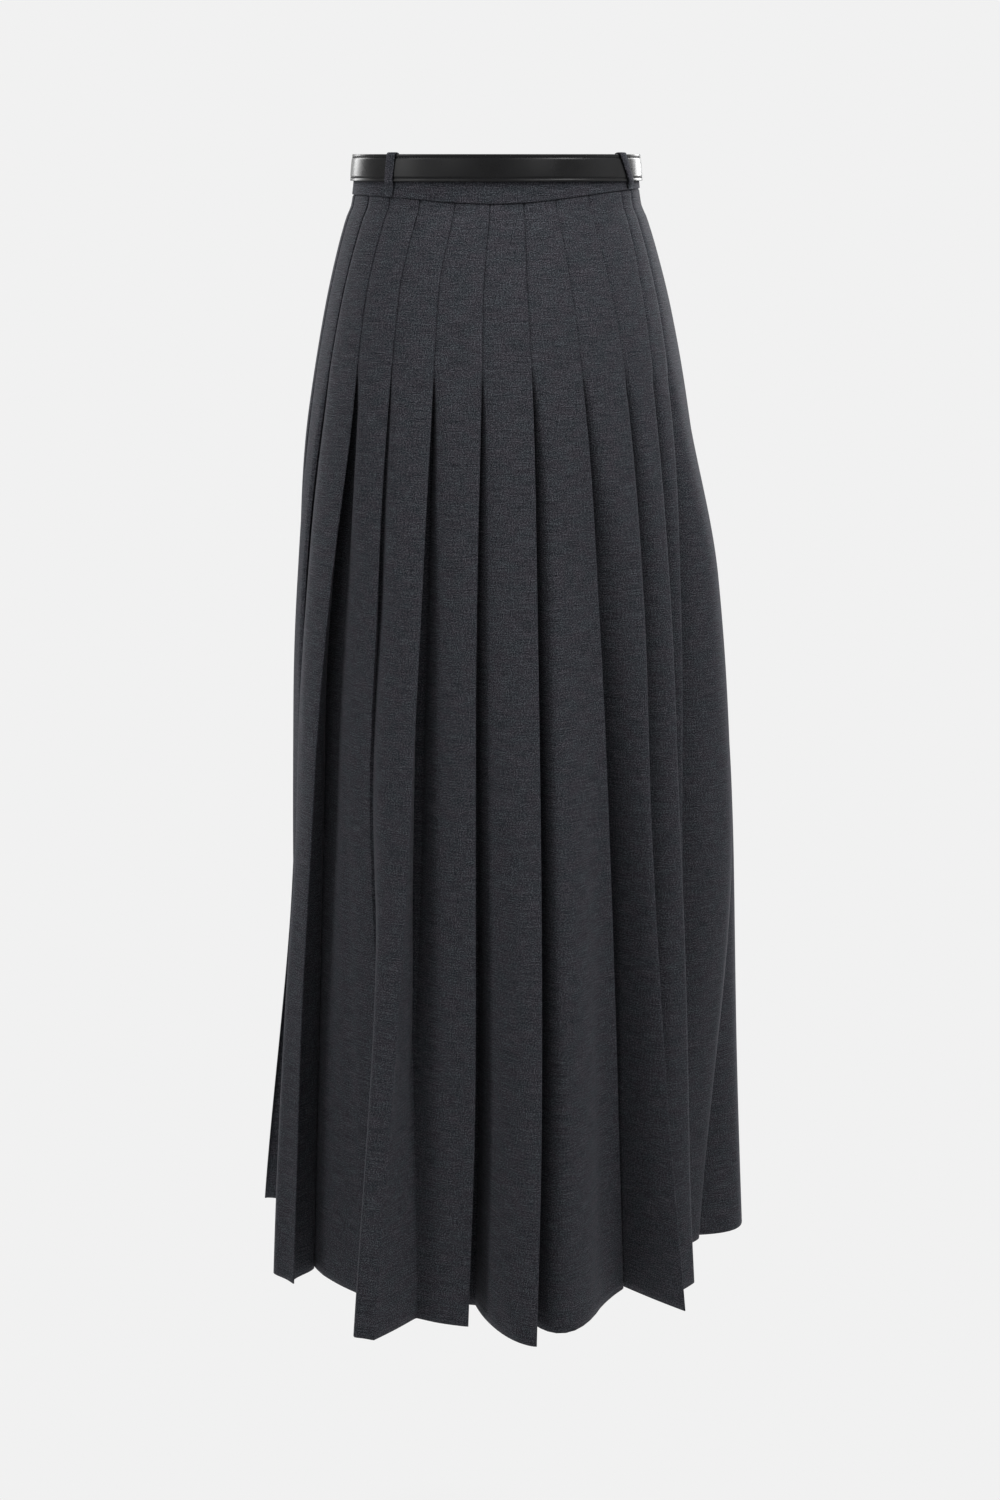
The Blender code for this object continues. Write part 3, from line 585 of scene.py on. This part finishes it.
def rounded_section(wall, radius, flat=6, arc=5):
    """Section of a strip with rounded edges: half circles of that radius at its corners.

    Goes down the outer side, round the foot, up the inner side and round the top.
    """
    half, edge = wall / 2, wall / 2 - radius
    shares = np.linspace(0, 1, flat)
    quarter = [(radius * sin(t), radius * cos(t)) for t in np.linspace(0, pi / 2, arc)[1:]]
    rows = [(half, s, radius * (1 - 2 * s)) for s in shares]
    rows += [(edge + side, 1, down - radius) for down, side in quarter]
    rows += [(-edge - side, 1, down - radius) for side, down in quarter]
    rows += [(-half, s, radius * (1 - 2 * s)) for s in shares[::-1][1:]]
    rows += [(-edge - side, 0, radius - up) for up, side in quarter]
    rows += [(edge + side, 0, radius - up) for side, up in quarter[:-1]]
    return rows


def waistband(finish):
    """The contoured waistband, closed at the left side over its own underlap.

    It runs once round just outside the oval, then a smooth step inwards by its own wall.
    """
    seam = float(pleat(PANELS[0][1], np.array([OPENING_DOWN]))[0][0, BEFORE_SEAM])
    a = float(oval(0.0)[0])
    lap, joggle = BAND_LAP / a, BAND_JOGGLE / a
    under = BAND_OUT - BAND_WALL - SEAM
    turns = np.linspace(seam, seam + 2 * pi + lap - joggle * (1 - JOGGLE_FALL), BAND_POINTS)
    step = np.clip((turns - (seam + 2 * pi - joggle)) / (joggle * JOGGLE_FALL), 0, 1)
    outs = BAND_OUT + (under - BAND_OUT) * step ** 2 * (3 - 2 * step)
    piece = swept("waistband_cloth", turns, outs, rounded_section(BAND_WALL, BAND_EDGE, flat=9),
                  0.0, band_depth(turns), finish, ["waistband"])


# ---- Belt

def belt_line():
    """Turns, and distances round the belt from the centre front: the oval's speed summed."""
    turn = np.linspace(-pi, 5 * pi, 8641)
    a, b = oval(BELT_TOP + BELT_WIDTH / 2)[:2]
    along = np.cumsum(np.hypot(a * np.cos(turn), b * np.sin(turn))) * (turn[1] - turn[0])
    return turn, along - np.interp(pi, turn, along)


BELT_TURNS, BELT_ALONG = belt_line()
GIRTH = float(np.interp(3 * pi, BELT_TURNS, BELT_ALONG))
ON_BAND = BAND_OUT + BAND_WALL / 2 + SEAM       # what lies on the band starts here
BELT_IN = ON_BAND + BELT_THICK / 2              # middle of the strap's inner layer
BELT_OUT = BELT_IN + BELT_THICK + SEAM          # and of the outer one
BELT_FOOT = BELT_TOP + BELT_WIDTH
BELT_MIDDLE = BELT_TOP + BELT_WIDTH / 2


def belt_turn(length):
    """Turn at that distance round the belt from the centre front."""
    return np.interp(length, BELT_ALONG, BELT_TURNS)


def belt_outs(length):
    """How far out the strap's middle lies: a straight rise over its own start at the buckle."""
    return np.interp(length, (GIRTH - BUCKLE_LENGTH + BELT_UNDER_FRAME, GIRTH - BELT_RISEN),
                     (BELT_IN, BELT_OUT))


def belt_narrow(length):
    """How much each edge comes in at the tip: it follows the start of an ellipse's quarter."""
    nose = np.clip((length - GIRTH - BELT_END) / NOSE_LENGTH + 1, 0, 1)
    return NOSE_NARROW * BELT_WIDTH * (1 - np.sqrt(1 - NOSE_ARC * nose ** 2))


def belt_section():
    """The strap's section: rounded painted edges, a stitched crease along each, a low crown.

    The crown is a parabola across the width, and each crease is a bell-shaped groove.
    """
    creased = []
    for across, share, extra in rounded_section(BELT_THICK, EDGE_ROUND, flat=41):
        if across == BELT_THICK / 2:
            from_edge = min(share, 1 - share) * (BELT_WIDTH - 2 * EDGE_ROUND) + EDGE_ROUND
            across += BELT_CROWN * 4 * share * (1 - share)
            across -= CREASE_DEEP * np.exp(-((from_edge - CREASE_IN) / CREASE_WIDE) ** 2)
        creased.append((across, share, extra))
    return creased


def belt_strap(finish):
    """The leather strap: once round over the waistband, then its free end over itself."""
    lengths = np.linspace(BELT_START, GIRTH + BELT_END, STRAP_POINTS)
    narrow = belt_narrow(lengths)
    return swept("belt_leather", belt_turn(lengths), belt_outs(lengths), belt_section(),
                 BELT_TOP + narrow, BELT_FOOT - narrow, finish, ["belt_strap"])


def belt_stitching(thread):
    """Saddle stitches sunk in the creases: small capsules at an even pitch."""
    lengths = np.arange(BELT_START + STITCH_START, GIRTH + BELT_END - STITCH_STOP, STITCH_PITCH)
    along = np.array((-1.0, -0.8, 0.0, 0.8, 1.0)) * STITCH_HALF
    size = np.array((0.35, 0.85, 1.0, 0.85, 0.35)) * STITCH_THICK
    angle = np.arange(6) * pi / 3
    length = lengths[:, None, None] + along[None, :, None] + 0 * angle
    out = belt_outs(length) + BELT_THICK / 2 - STITCH_SUNK + size[:, None] * np.cos(angle)
    inward = belt_narrow(lengths) + CREASE_IN
    rows = [place(belt_turn(length), out, middle[:, None, None] + size[:, None] * np.sin(angle))
            for middle in (BELT_TOP + inward, BELT_FOOT - inward)]
    points = np.concatenate(rows).reshape(-1, 3)
    each = len(along) * len(angle)
    starts = range(0, len(points), each)
    one = grid_faces(len(along), len(angle), round_columns=True)
    faces = np.concatenate([one + start for start in starts])
    caps = end_caps(len(along), len(angle))
    ends = [tuple(i + start for i in cap) for start in starts for cap in caps]
    return make_piece("belt_stitching", points, faces, thread, [], ends=ends)


def bar(name, path, radius, finish, nodes, closed=False):
    """A round bar along a path of (length round the belt, out, down).

    Two axes, square to the path, carry its section: wide lies in the belt's own surface.
    """
    path = np.asarray(path, float)
    if closed:
        along = np.roll(path, -1, axis=0) - np.roll(path, 1, axis=0)
    else:
        along = np.gradient(path, axis=0)
    lean = np.hypot(along[:, 0], along[:, 2])
    size = np.linalg.norm(along, axis=1)
    flat = np.where(lean[:, None] > 1e-9, along[:, (0, 2)] / np.maximum(lean, 1e-9)[:, None], (1, 0))
    wide = np.stack([-flat[:, 1], np.zeros(len(path)), flat[:, 0]], axis=1)
    thick = np.stack([-flat[:, 0] * along[:, 1], lean, -flat[:, 1] * along[:, 1]], axis=1)
    thick /= size[:, None]
    angle = (np.arange(BAR_CORNERS) + 0.5) * 2 * pi / BAR_CORNERS
    ring = (radius * np.cos(angle)[:, None] * wide[:, None]
            + radius * np.sin(angle)[:, None] * thick[:, None])
    length, out, down = np.moveaxis(path[:, None] + ring, -1, 0)
    faces = grid_faces(len(path), BAR_CORNERS, round_rows=closed, round_columns=True)
    return make_piece(name, place(belt_turn(length), out, down), faces, finish, nodes,
                      ends=[] if closed else end_caps(len(path), BAR_CORNERS))


def soften(path, times=3):
    """The same open path with its corners cut, a quarter in from each end, several times."""
    path = np.asarray(path, float)
    for _ in range(times):
        cut = np.stack([path[:-1] * 0.75 + path[1:] * 0.25, path[:-1] * 0.25 + path[1:] * 0.75], 1)
        path = np.concatenate([path[:1], cut.reshape(-1, path.shape[1])[1:-1], path[-1:]])
    return path


def buckle(metal):
    """A plain rounded frame whose heel bar lies in the strap's own layer, and its prong.

    The frame is an ellipse with both coordinates raised to a power below 1, tilted outwards
    from its heel bar. The prong is a path of listed points with its corners cut.
    """
    far_out = BELT_IN + BELT_THICK / 2 + SEAM + BUCKLE_BAR
    heel, far = 0.0016, -BUCKLE_LENGTH
    half_high = BELT_WIDTH / 2 + SEAM + BUCKLE_ROOM + BUCKLE_BAR
    angle = np.arange(FRAME_POINTS) * 2 * pi / FRAME_POINTS
    across, up = (np.sign(wave) * np.abs(wave) ** BUCKLE_SQUARED
                  for wave in (np.cos(angle), np.sin(angle)))
    length = GIRTH + (heel + far) / 2 + (heel - far) / 2 * across
    out = (BELT_IN + far_out) / 2 + (BELT_IN - far_out) / 2 * across
    bar("buckle_frame_metal", np.stack([length, out, BELT_MIDDLE + half_high * up], axis=1),
        BUCKLE_BAR, metal, ["buckle_frame"], closed=True)

    over = BELT_OUT + BELT_THICK / 2 + SEAM + PRONG_RADIUS
    rest = far_out + BUCKLE_BAR + SEAM + PRONG_RADIUS
    prong = [(-0.0015, BELT_IN + BUCKLE_ROOM), (-0.0020, BELT_OUT), (-0.0034, over),
             (-0.0080, over + BUCKLE_ROOM), (-0.0200, rest), (far - heel, rest)]
    path = [(GIRTH + length, out, BELT_MIDDLE) for length, out in prong]
    bar("buckle_prong_metal", soften(path), PRONG_RADIUS, metal, ["buckle_prong"])


def band_round(name, profile, middle, reach, wall, finish, nodes):
    """A flat strip bent along a profile of (out, down), with a thickness and soft edges.

    The middle is the turn of its middle line and the reach is half its width as an angle,
    for each profile point or for them all.
    """
    out, down = np.asarray(profile).T
    along_out, along_down = np.gradient(out), np.gradient(down)
    size = np.hypot(along_out, along_down)
    normal_out, normal_down = along_down / size, -along_out / size
    half = wall / 2
    section = [(-1.0, 0.35), (-0.97, 0.8), (-0.90, 1.0), (0.0, 1.08), (0.90, 1.0), (0.97, 0.8),
               (1.0, 0.35), (1.0, -0.35), (0.97, -0.8), (0.90, -1.0), (-0.90, -1.0),
               (-0.97, -0.8), (-1.0, -0.35)]
    across, lift = np.array(section).T
    turns = np.reshape(middle, (-1, 1)) + np.reshape(reach, (-1, 1)) * across
    outs = out[:, None] + normal_out[:, None] * lift * half
    downs = down[:, None] + normal_down[:, None] * lift * half
    points = place(turns, outs, downs)
    uv = strip_coordinates(points[:, len(across) // 4], 0 * outs + across * LOOP_WIDTH / 2)
    return make_piece(name, points, grid_faces(*points.shape[:2], round_columns=True), finish,
                      nodes, uv=uv, ends=end_caps(*points.shape[:2]))


def keeper(finish):
    """A leather band over both strap layers, its ends sewn in behind the inner one."""
    half = KEEPER_WALL / 2
    front = ON_BAND + 2 * BELT_THICK + 2 * SEAM + half
    top, foot = BELT_TOP - SEAM - half, BELT_FOOT + SEAM + half
    path = [(ON_BAND, top), (front - half, top), (front, top + half), (front, foot - half),
            (front - half, foot), (ON_BAND, foot)]
    centre = float(belt_turn(GIRTH + KEEPER_AT))
    reach = KEEPER_WIDTH / 2 / float(round_scale(centre, 0.0, np.array(BELT_MIDDLE)))
    band_round("belt_keeper_leather", soften(path), centre, reach, KEEPER_WALL, finish,
               ["belt_keeper"])


def belt_loop(name, top_turn, foot_turn, finish):
    """A belt loop: caught on the band's upper edge, over the belt, sewn at the band's seam."""
    foot_turn, top_turn = radians(foot_turn), radians(top_turn)
    depth = float(band_depth(foot_turn))
    band = ON_BAND + LOOP_WALL / 2
    over = band + BELT_THICK + 2 * SEAM
    above = -SEAM - LOOP_WALL / 2
    crest = BELT_TOP + above
    # over the band's edge, down the belt, then in to the band and down to its foot
    path = [(BAND_OUT - BAND_WALL / 2, above), (BAND_OUT + BAND_WALL / 2, crest),
            (over - 0.0008, crest), (over, crest + 0.0010), (over, BELT_FOOT * 0.5),
            (over, BELT_FOOT + 0.0004), (band, min(BELT_FOOT + LOOP_BACK, depth - LOOP_FLAT)),
            (band, depth - LOOP_END)]
    path = soften(path)
    down = path[:, 1]
    middle = top_turn + (foot_turn - top_turn) * np.clip(down / depth, 0, 1)
    reach = LOOP_WIDTH / 2 / round_scale(middle, 0.0, down)
    return band_round(name + "_cloth", path, middle, reach, LOOP_WALL, finish, [name])


# ---- Materials

def linear(code, opacity=1.0):
    """A colour from its sRGB hex code, in linear light."""
    parts = [int(code[i:i + 2], 16) / 255 for i in (1, 3, 5)]
    return (*[c / 12.92 if c <= 0.04045 else ((c + 0.055) / 1.055) ** 2.4 for c in parts], opacity)


def add(tree, kind, inputs=None, **settings):
    """A node with its settings; each input is a value or another node's output socket."""
    made = tree.nodes.new("ShaderNode" + kind)
    for name, value in settings.items():
        setattr(made, name, value)
    for name, value in (inputs or {}).items():
        if isinstance(value, bpy.types.NodeSocket):
            tree.links.new(value, made.inputs[name])
        else:
            made.inputs[name].default_value = value
    return made


def new_material(name):
    """A material with no nodes yet, and its tree."""
    made = bpy.data.materials.new(name)
    made.use_nodes = True
    made.node_tree.nodes.clear()
    return made, made.node_tree


def in_millimetres(tree):
    """Places on the piece itself, in millimetres."""
    return add(tree, "Mapping", {"Vector": add(tree, "TexCoord").outputs["Object"],
                                 "Scale": (1000, 1000, 1000)}).outputs["Vector"]


def ramp(tree, factor, *stops):
    """A colour ramp through (place, hex colour) stops."""
    made = add(tree, "ValToRGB", {"Fac": factor})
    elements = made.color_ramp.elements
    while len(elements) < len(stops):
        elements.new(0.5)
    for element, (at, code) in zip(elements, stops):
        element.position = at
        element.color = linear(code)
    return made.outputs["Color"]


def worsted_wool():
    """Charcoal melange worsted: dyed and undyed fibres spun together, plain woven.

    Up close it is a salt and pepper grain with a few short level slubs, dull, with a faint
    sheen where the surface turns away. Real threads are 0.4 mm apart, too fine to show, so
    the grain is drawn about 1 mm wide.
    """
    made, tree = new_material("worsted_wool_charcoal_melange")
    cloth = add(tree, "UVMap", uv_map="cloth").outputs["UV"]

    def grain(size_across, size_down, detail=2.0):
        """Noise whose flecks are that many millimetres across the cloth and down it."""
        scale = (1000 / size_across, 1000 / size_down, 1)
        scaled = add(tree, "Mapping", {"Vector": cloth, "Scale": scale}).outputs["Vector"]
        return add(tree, "TexNoise", {"Vector": scaled, "Scale": 1.0, "Detail": detail,
                                      "Roughness": 0.6}).outputs["Fac"]

    fleck, slub, thread = grain(0.95, 0.9, 1.0), grain(20, 0.9), grain(0.9, 12)
    cloud = grain(16, 11)
    level = 0.0
    for noise, share in ((slub, 0.22), (thread, 0.16), (fleck, 0.62)):
        level = add(tree, "Math", {0: noise, 1: share, 2: level},
                    operation="MULTIPLY_ADD").outputs[0]
    tone = ramp(tree, level, (0.36, "#131418"), (0.50, "#36373c"), (0.64, "#64656b"))
    shade = ramp(tree, cloud, (0.35, "#ecf3f3"), (0.65, "#f8f1f4"))
    colour = add(tree, "Mix", {0: 1.0, 6: tone, 7: shade}, data_type="RGBA",
                 blend_type="MULTIPLY").outputs[2]
    bump = add(tree, "Bump", {"Height": level, "Strength": 0.35, "Distance": 0.0006})
    shader = add(tree, "BsdfPrincipled", {
        "Base Color": colour, "Roughness": 0.9, "Specular IOR Level": 0.10,
        "Sheen Weight": 0.12, "Sheen Roughness": 0.4, "Sheen Tint": linear("#d8d9e2"),
        "Normal": bump.outputs["Normal"]})
    add(tree, "OutputMaterial", {"Surface": shader.outputs["BSDF"]})
    return made


def smooth_leather():
    """Black calf leather, smooth finished: fine pores, an even dull gloss, painted edges."""
    made, tree = new_material("calf_leather_black")
    spot = in_millimetres(tree)
    pores = add(tree, "TexVoronoi", {"Vector": spot, "Scale": 1.4},
                feature="SMOOTH_F1").outputs["Distance"]
    wear = add(tree, "TexNoise", {"Vector": spot, "Scale": 0.05, "Detail": 4.0}).outputs["Fac"]
    gloss = add(tree, "MapRange", {"Value": wear, "From Min": 0.3, "From Max": 0.7,
                                   "To Min": 0.24, "To Max": 0.34}).outputs["Result"]
    colour = ramp(tree, wear, (0.3, "#0c0c0d"), (0.7, "#131314"))
    bump = add(tree, "Bump", {"Height": pores, "Strength": 0.12, "Distance": 0.0002})
    shader = add(tree, "BsdfPrincipled", {
        "Base Color": colour, "Roughness": gloss, "IOR": 1.5, "Specular IOR Level": 0.16,
        "Normal": bump.outputs["Normal"]})
    add(tree, "OutputMaterial", {"Surface": shader.outputs["BSDF"]})
    return made


def waxed_thread():
    """Waxed black polyester thread: a little lighter and duller than the leather."""
    made, tree = new_material("waxed_thread_black")
    spot = in_millimetres(tree)
    twist = add(tree, "TexNoise", {"Vector": spot, "Scale": 3.0}).outputs["Fac"]
    colour = ramp(tree, twist, (0.3, "#161618"), (0.7, "#242427"))
    shader = add(tree, "BsdfPrincipled", {"Base Color": colour, "Roughness": 0.6,
                                          "Specular IOR Level": 0.1})
    add(tree, "OutputMaterial", {"Surface": shader.outputs["BSDF"]})
    return made


def dark_nickel():
    """Dark nickel plate on brass: polished, with faint handling marks in its gloss."""
    made, tree = new_material("dark_nickel_plate")
    spot = in_millimetres(tree)
    marks = add(tree, "TexNoise", {"Vector": spot, "Scale": 0.6, "Detail": 5.0}).outputs["Fac"]
    gloss = add(tree, "MapRange", {"Value": marks, "From Min": 0.3, "From Max": 0.7,
                                   "To Min": 0.16, "To Max": 0.30}).outputs["Result"]
    colour = ramp(tree, marks, (0.3, "#8a8783"), (0.7, "#96938f"))
    shader = add(tree, "BsdfPrincipled", {"Base Color": colour, "Metallic": 1.0,
                                          "Roughness": gloss})
    add(tree, "OutputMaterial", {"Surface": shader.outputs["BSDF"]})
    return made


# ---- Stage

BACKGROUND = "#f1f1f1"
FLOOR_DOWN = 1.50        # the garment hangs clear above the floor
POOL = (0.08, 0.34)      # the garment's shadow lies within this reach of its middle

LIGHT_AIM = (0, 0, -0.35)
BOX_SIZE = (0.65, 1.5)
WORLD_LEVEL = 0.03
# name, azimuth from the back in degrees, how far away, height above the waist, level
SOFT_BOXES = (
    ("box_left", -70, 1.9, 0.60, 0.20),
    ("box_near_left", -60, 1.1, 0.30, 0.16),
    ("box_high_left", -70, 1.5, 1.60, 0.10),
    ("box_back_left", -32, 1.9, 0.90, 0.09),
    ("box_back_right", 25, 1.9, 0.90, 0.145),
    ("box_near_right", 68, 1.1, 0.30, 0.12),
    ("box_high_right", 50, 1.5, 1.60, 0.57),
    ("box_front_left", -142, 1.9, 0.60, 0.60),
    ("box_front_right", 132, 1.9, 0.60, 0.75),
)

VIEW_TURN = radians(10.4)      # the camera stands this far round to the garment's left
LOOK_DOWN = radians(15.12)
CAMERA_AWAY = 1.95
CAMERA_ASIDE = 0.00257         # towards the right of its view, level with the waist
FOCAL = 52.84


def seen(tree):
    """1 for rays from the camera, off a glossy surface or through a clear one, else 0."""
    path = add(tree, "LightPath")
    mirrored = add(tree, "Math", {0: path.outputs["Is Glossy Ray"],
                                  1: path.outputs["Is Transmission Ray"]}, operation="MAXIMUM")
    return add(tree, "Math", {0: path.outputs["Is Camera Ray"], 1: mirrored.outputs[0]},
               operation="MAXIMUM").outputs[0]


def paper_floor():
    """Seamless pale paper: matt under the garment, even further away."""
    made, tree = new_material("seamless_paper")
    spot = add(tree, "TexCoord").outputs["Object"]
    reach = add(tree, "VectorMath", {0: spot}, operation="LENGTH").outputs["Value"]
    even = add(tree, "MapRange", {"Value": reach, "From Min": POOL[0], "From Max": POOL[1]},
               interpolation_type="SMOOTHSTEP").outputs["Result"]
    far = add(tree, "Math", {0: even, 1: seen(tree)}, operation="MULTIPLY").outputs[0]
    matt = add(tree, "BsdfDiffuse", {"Color": linear(BACKGROUND)}).outputs["BSDF"]
    pale = add(tree, "Emission", {"Color": linear(BACKGROUND)}).outputs["Emission"]
    mixed = add(tree, "MixShader", {0: far, 1: matt, 2: pale})
    add(tree, "OutputMaterial", {"Surface": mixed.outputs["Shader"]})
    return made


def floor():
    """A round sheet of paper under the garment."""
    bpy.ops.mesh.primitive_circle_add(vertices=96, radius=40.0, fill_type="NGON",
                                      location=(0, 0, -FLOOR_DOWN))
    sheet = bpy.context.object
    sheet.name = "paper_floor"
    sheet.data.materials.append(paper_floor())


def world():
    """Soft white light from all round, seen as the pale background."""
    made = bpy.data.worlds.new("studio")
    made.use_nodes = True
    tree = made.node_tree
    tree.nodes.clear()
    light = add(tree, "Background", {"Color": (1, 1, 1, 1), "Strength": WORLD_LEVEL})
    pale = add(tree, "Background", {"Color": linear(BACKGROUND), "Strength": 1.0})
    mixed = add(tree, "MixShader", {0: seen(tree), 1: light.outputs["Background"],
                                    2: pale.outputs["Background"]})
    add(tree, "OutputWorld", {"Surface": mixed.outputs["Shader"]})
    bpy.context.scene.world = made


def soft_box(name, azimuth, away, height, level):
    """A tall soft box aimed at the garment, at that azimuth from the back in degrees.

    It lights a matt white surface that faces it to that level.
    """
    lamp = bpy.data.lights.new(name, "AREA")
    lamp.shape = "RECTANGLE"
    lamp.size, lamp.size_y = BOX_SIZE
    turn = radians(azimuth)
    spot = Vector((away * sin(turn), -away * cos(turn), height))
    way = Vector(LIGHT_AIM) - spot
    lamp.energy = level * pi ** 2 * way.length_squared
    box = bpy.data.objects.new(name, lamp)
    box.location = spot
    box.rotation_euler = way.to_track_quat("-Z", "Y").to_euler()
    bpy.context.scene.collection.objects.link(box)


def camera():
    """Level with the waist, looking down at the back of the skirt."""
    lens = bpy.data.cameras.new("camera")
    lens.lens = FOCAL
    lens.clip_start = 0.01
    viewer = bpy.data.objects.new("camera", lens)
    viewer.location = (CAMERA_ASIDE * cos(VIEW_TURN) - CAMERA_AWAY * sin(VIEW_TURN),
                       -CAMERA_ASIDE * sin(VIEW_TURN) - CAMERA_AWAY * cos(VIEW_TURN), 0)
    viewer.rotation_euler = (pi / 2 - LOOK_DOWN, 0, -VIEW_TURN)
    bpy.context.scene.collection.objects.link(viewer)
    bpy.context.scene.camera = viewer


def stage():
    """Floor, light, camera and the plain view settings."""
    floor()
    world()
    for box in SOFT_BOXES:
        soft_box(*box)
    camera()
    bpy.context.scene.view_settings.view_transform = "Standard"


def garment():
    """Every piece of the skirt and its belt."""
    wool, leather = worsted_wool(), smooth_leather()
    for panel in PANELS:
        cloth_panel(*panel, wool)
    waistband(wool)
    belt_strap(leather)
    belt_stitching(waxed_thread())
    buckle(dark_nickel())
    keeper(leather)
    for loop in LOOPS:
        belt_loop(*loop, wool)


garment()
stage()
